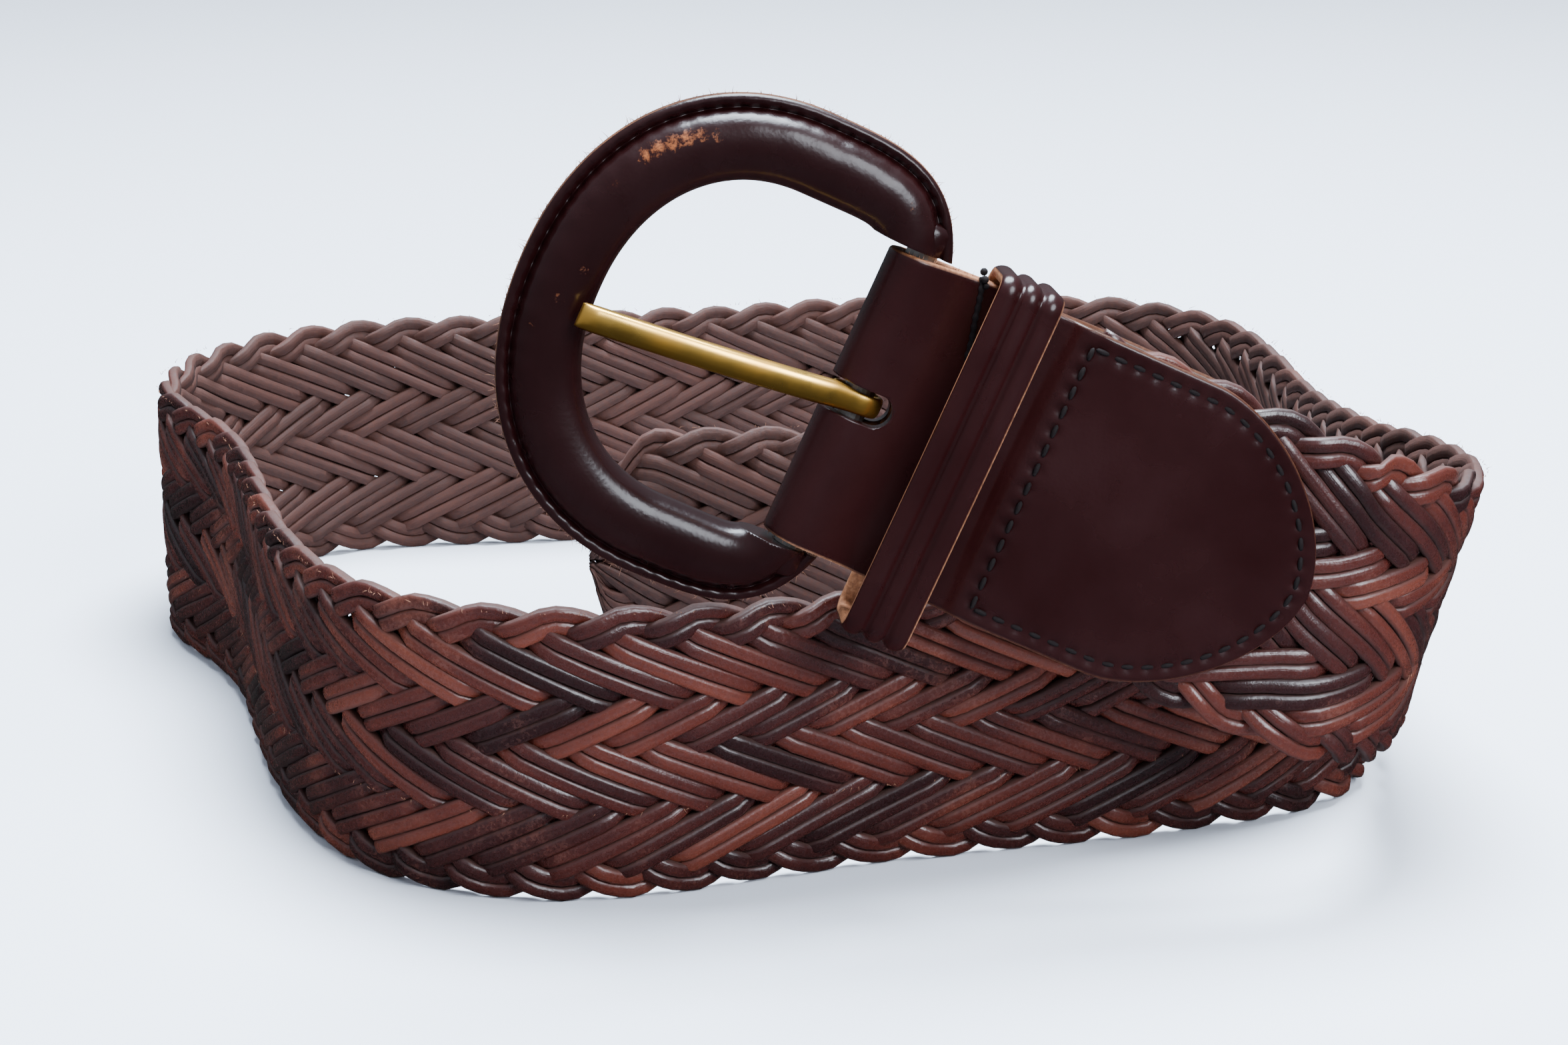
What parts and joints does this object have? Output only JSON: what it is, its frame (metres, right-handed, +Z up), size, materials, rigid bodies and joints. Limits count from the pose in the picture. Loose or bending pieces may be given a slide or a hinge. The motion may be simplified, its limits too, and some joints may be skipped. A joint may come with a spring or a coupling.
{
  "type": "braided leather belt",
  "caption": "Wide braided leather belt with a padded leather-covered buckle, a prong, a stitched end and a keeper loop, unfastened and coiled on its lower edge.",
  "frame": {"origin": "middle of the box round the coiled belt, on the surface it stands on", "axes": "+Z up, -Y towards the side the buckle faces, +X to the right seen from that side"},
  "size_m": [0.2418, 0.2326, 0.13],
  "materials": {
    "braid_leather": "waxed, uneven, reddish brown",
    "smooth_leather": "smooth, glossy, dark oxblood brown with raw tan edges",
    "buckle_leather": "smooth, glossy, very dark brown, scuffed",
    "bar_steel": "dull",
    "prong_brass": "polished"
  },
  "bodies": {
    "strap": {"braid": "braid_leather", "chape": "smooth_leather", "keeper": "smooth_leather"},
    "frame": {"buckle_frame": "buckle_leather", "buckle_bar": "bar_steel"},
    "prong": {"prong": "prong_brass"}
  },
  "joints": [
    {"name": "frame_hinge", "type": "hinge", "parent": "strap", "child": "frame", "pos_m": [0.01459, -0.10416, 0.0831], "axis": [0.4094, 0.0841, 0.9085], "range_deg": [0, 40]},
    {"name": "prong_hinge", "type": "hinge", "parent": "frame", "child": "prong", "pos_m": [0.01459, -0.10416, 0.0831], "axis": [0.4094, 0.0841, 0.9085], "range_deg": [0, 40]}
  ]
}
